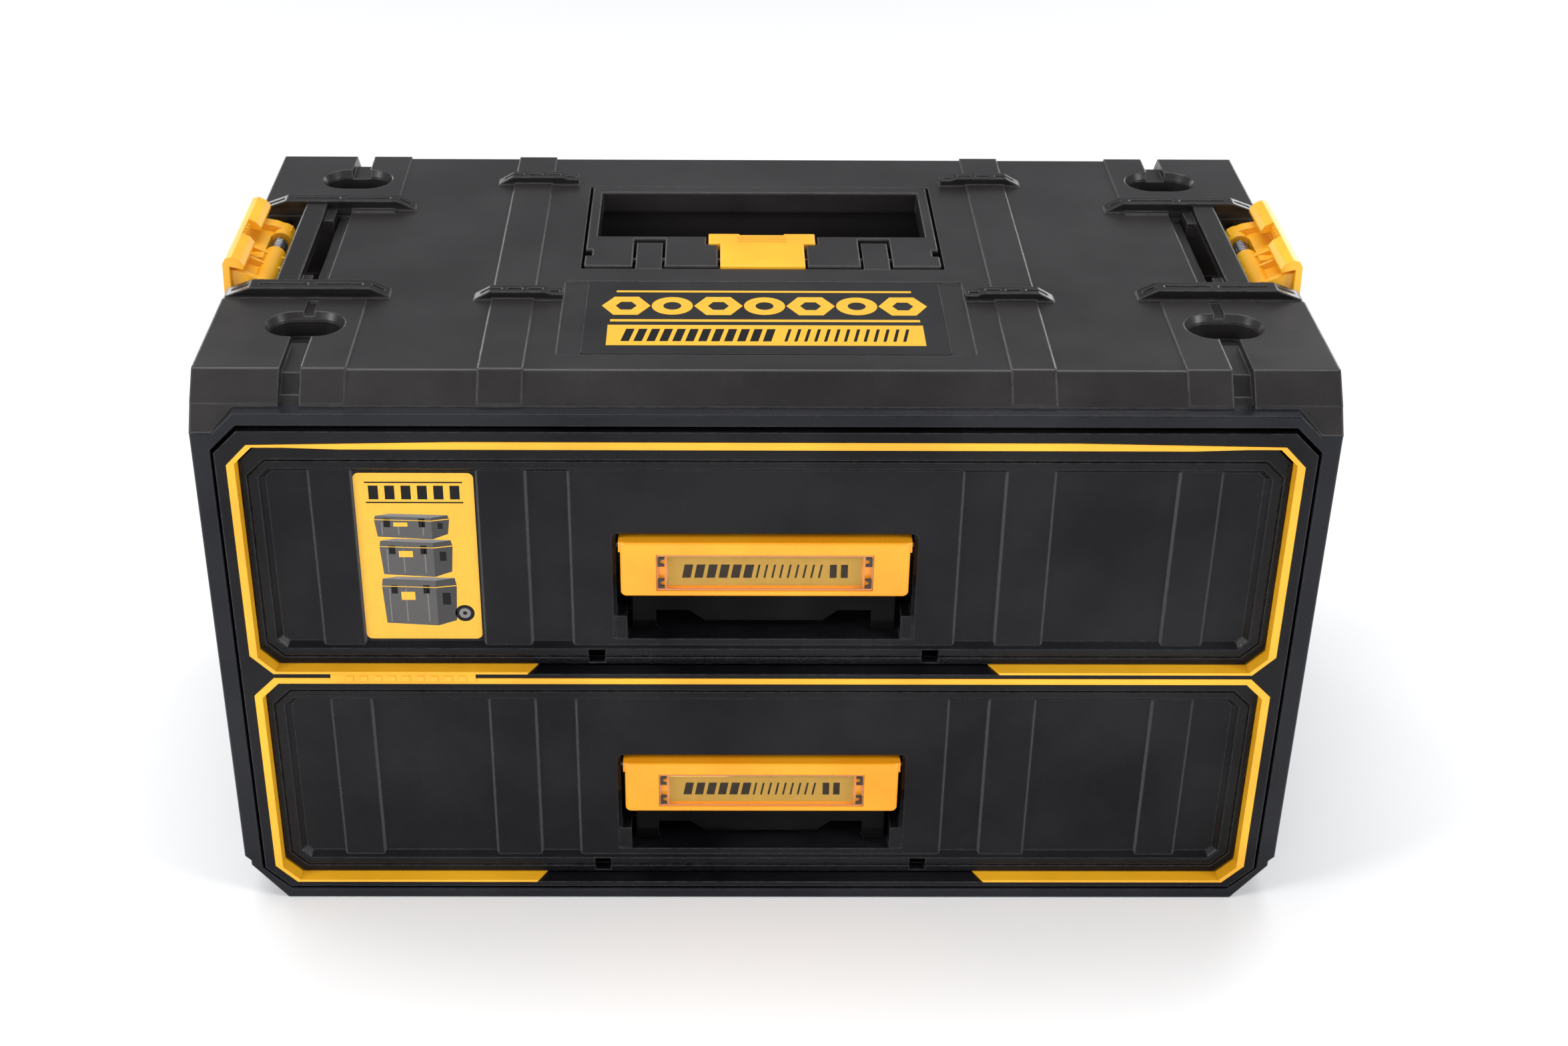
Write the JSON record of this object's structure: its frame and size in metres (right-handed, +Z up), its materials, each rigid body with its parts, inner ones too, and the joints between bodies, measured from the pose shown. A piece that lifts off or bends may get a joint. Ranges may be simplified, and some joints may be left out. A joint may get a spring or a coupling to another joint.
{
  "type": "two-drawer stacking tool box",
  "caption": "Wide stackable plastic tool case with full-width drawers on ball slides, squeeze pulls, a fold-flat top handle and side latches.",
  "frame": {"origin": "on the floor, under the middle of the case", "axes": "+X to the right seen from the front, +Y towards the back, +Z up"},
  "size_m": [0.5704, 0.3173, 0.3212],
  "materials": {
    "case_plastic": "satin moulded",
    "deck_plastic": "fine moulded grain",
    "front_plastic": "leather-like moulded grain",
    "label_plate": "smooth satin",
    "trim_plastic": "glossy",
    "pull_plastic": "satin gloss",
    "latch_plastic": "satin gloss",
    "latch_bar_plastic": "matte",
    "tub_plastic": "satin moulded",
    "window_plastic": "clear",
    "card": "paper",
    "sticker": "printed film",
    "slide_steel": "zinc plated",
    "bracket_steel": "zinc plated",
    "cage_steel": "plain",
    "ball_steel": "polished",
    "pin_steel": "zinc plated",
    "spring_steel": "oiled",
    "dark_steel": "blackened"
  },
  "bodies": {
    "case": {"base_pan": "case_plastic", "back_panel": "case_plastic", "left_side_panel": "case_plastic", "right_side_panel": "case_plastic", "front_rim": "case_plastic", "slide_brackets": "bracket_steel", "top_deck": "deck_plastic", "top_label_plate": "label_plate", "front_bezel": "front_plastic", "yellow_trim": "trim_plastic", "case_screws": "pin_steel", "rail_screws": "pin_steel", "handle_pin": "dark_steel", "latch_pins": "dark_steel", "left_bridge_bar": "deck_plastic", "right_bridge_bar": "deck_plastic", "latch_springs": "spring_steel", "handle_pocket": "deck_plastic", "stacking_sockets": "deck_plastic", "left_latch_well": "deck_plastic", "right_latch_well": "deck_plastic", "lower_case_members": "slide_steel", "upper_case_members": "slide_steel"},
    "handle": {"carry_handle": "deck_plastic"},
    "catch": {"centre_catch": "latch_plastic"},
    "left_latch": {"left_latch_lever": "latch_plastic"},
    "right_latch": {"right_latch_lever": "latch_plastic"},
    "lower_drawer": {"lower_drawer_tub": "tub_plastic", "lower_drawer_front": "front_plastic", "lower_front_screws": "pin_steel", "lower_pull_pin": "dark_steel", "lower_pull_spring": "spring_steel", "lower_left_drawer_member": "slide_steel", "lower_right_drawer_member": "slide_steel"},
    "lower_pull": {"lower_pull": "pull_plastic", "lower_label_card": "card", "lower_label_window": "window_plastic"},
    "lower_latch_bar": {"lower_latch_bar": "latch_bar_plastic"},
    "lower_middle_members": {"lower_middle_members": "slide_steel"},
    "lower_outer_cages": {"lower_outer_cages": "cage_steel", "lower_outer_balls": "ball_steel"},
    "lower_inner_cages": {"lower_inner_cages": "cage_steel", "lower_inner_balls": "ball_steel"},
    "upper_drawer": {"upper_drawer_tub": "tub_plastic", "upper_drawer_front": "front_plastic", "upper_front_screws": "pin_steel", "upper_pull_pin": "dark_steel", "upper_pull_spring": "spring_steel", "upper_left_drawer_member": "slide_steel", "upper_right_drawer_member": "slide_steel", "upper_sticker": "sticker"},
    "upper_pull": {"upper_pull": "pull_plastic", "upper_label_card": "card", "upper_label_window": "window_plastic"},
    "upper_latch_bar": {"upper_latch_bar": "latch_bar_plastic"},
    "upper_middle_members": {"upper_middle_members": "slide_steel"},
    "upper_outer_cages": {"upper_outer_cages": "cage_steel", "upper_outer_balls": "ball_steel"},
    "upper_inner_cages": {"upper_inner_cages": "cage_steel", "upper_inner_balls": "ball_steel"}
  },
  "joints": [
    {"name": "handle_fold", "type": "hinge", "parent": "case", "child": "handle", "pos_m": [0, 0.001, 0.3055], "axis": [1, 0, 0], "range_deg": [0, 90]},
    {"name": "catch_lift", "type": "hinge", "parent": "handle", "child": "catch", "pos_m": [0, 0.001, 0.3055], "axis": [1, 0, 0], "range_deg": [0, 45]},
    {"name": "left_latch_turn", "type": "hinge", "parent": "case", "child": "left_latch", "pos_m": [-0.263, 0.01, 0.302], "axis": [0, -1, 0], "range_deg": [0, 35], "stiffness_Nm_per_rad": 0.05, "springref_deg": -28.65},
    {"name": "right_latch_turn", "type": "hinge", "parent": "case", "child": "right_latch", "pos_m": [0.263, 0.01, 0.302], "axis": [0, 1, 0], "range_deg": [0, 35], "stiffness_Nm_per_rad": 0.05, "springref_deg": -28.65},
    {"name": "lower_drawer_slide", "type": "slide", "parent": "case", "child": "lower_drawer", "axis": [0, -1, 0], "range_m": [0, 0.25]},
    {"name": "lower_middle_slide", "type": "slide", "parent": "case", "child": "lower_middle_members", "axis": [0, -1, 0], "range_m": [0, 0.1251]},
    {"name": "lower_outer_cage_slide", "type": "slide", "parent": "case", "child": "lower_outer_cages", "axis": [0, -1, 0], "range_m": [0, 0.0626]},
    {"name": "lower_inner_cage_slide", "type": "slide", "parent": "case", "child": "lower_inner_cages", "axis": [0, -1, 0], "range_m": [0, 0.1876]},
    {"name": "lower_pull_swing", "type": "hinge", "parent": "lower_drawer", "child": "lower_pull", "pos_m": [0, -0.145, 0.0814], "axis": [-1, 0, 0], "range_deg": [0, 22.05]},
    {"name": "lower_latch_drop", "type": "slide", "parent": "lower_drawer", "child": "lower_latch_bar", "axis": [0, 0, -1], "range_m": [0, 0.003], "stiffness_N_per_m": 150, "springref_m": -0.01},
    {"name": "upper_drawer_slide", "type": "slide", "parent": "case", "child": "upper_drawer", "axis": [0, -1, 0], "range_m": [0, 0.25]},
    {"name": "upper_middle_slide", "type": "slide", "parent": "case", "child": "upper_middle_members", "axis": [0, -1, 0], "range_m": [0, 0.1251]},
    {"name": "upper_outer_cage_slide", "type": "slide", "parent": "case", "child": "upper_outer_cages", "axis": [0, -1, 0], "range_m": [0, 0.0626]},
    {"name": "upper_inner_cage_slide", "type": "slide", "parent": "case", "child": "upper_inner_cages", "axis": [0, -1, 0], "range_m": [0, 0.1876]},
    {"name": "upper_pull_swing", "type": "hinge", "parent": "upper_drawer", "child": "upper_pull", "pos_m": [0, -0.145, 0.2174], "axis": [-1, 0, 0], "range_deg": [0, 22.05]},
    {"name": "upper_latch_drop", "type": "slide", "parent": "upper_drawer", "child": "upper_latch_bar", "axis": [0, 0, -1], "range_m": [0, 0.003], "stiffness_N_per_m": 150, "springref_m": -0.01}
  ],
  "couplings": [
    {"joint": "lower_middle_slide", "follows": "lower_drawer_slide", "ratio": 0.5},
    {"joint": "lower_outer_cage_slide", "follows": "lower_drawer_slide", "ratio": 0.25},
    {"joint": "lower_inner_cage_slide", "follows": "lower_drawer_slide", "ratio": 0.75},
    {"joint": "lower_pull_swing", "follows": "lower_latch_drop", "rad_per_m": 127.99},
    {"joint": "upper_middle_slide", "follows": "upper_drawer_slide", "ratio": 0.5},
    {"joint": "upper_outer_cage_slide", "follows": "upper_drawer_slide", "ratio": 0.25},
    {"joint": "upper_inner_cage_slide", "follows": "upper_drawer_slide", "ratio": 0.75},
    {"joint": "upper_pull_swing", "follows": "upper_latch_drop", "rad_per_m": 127.99}
  ]
}
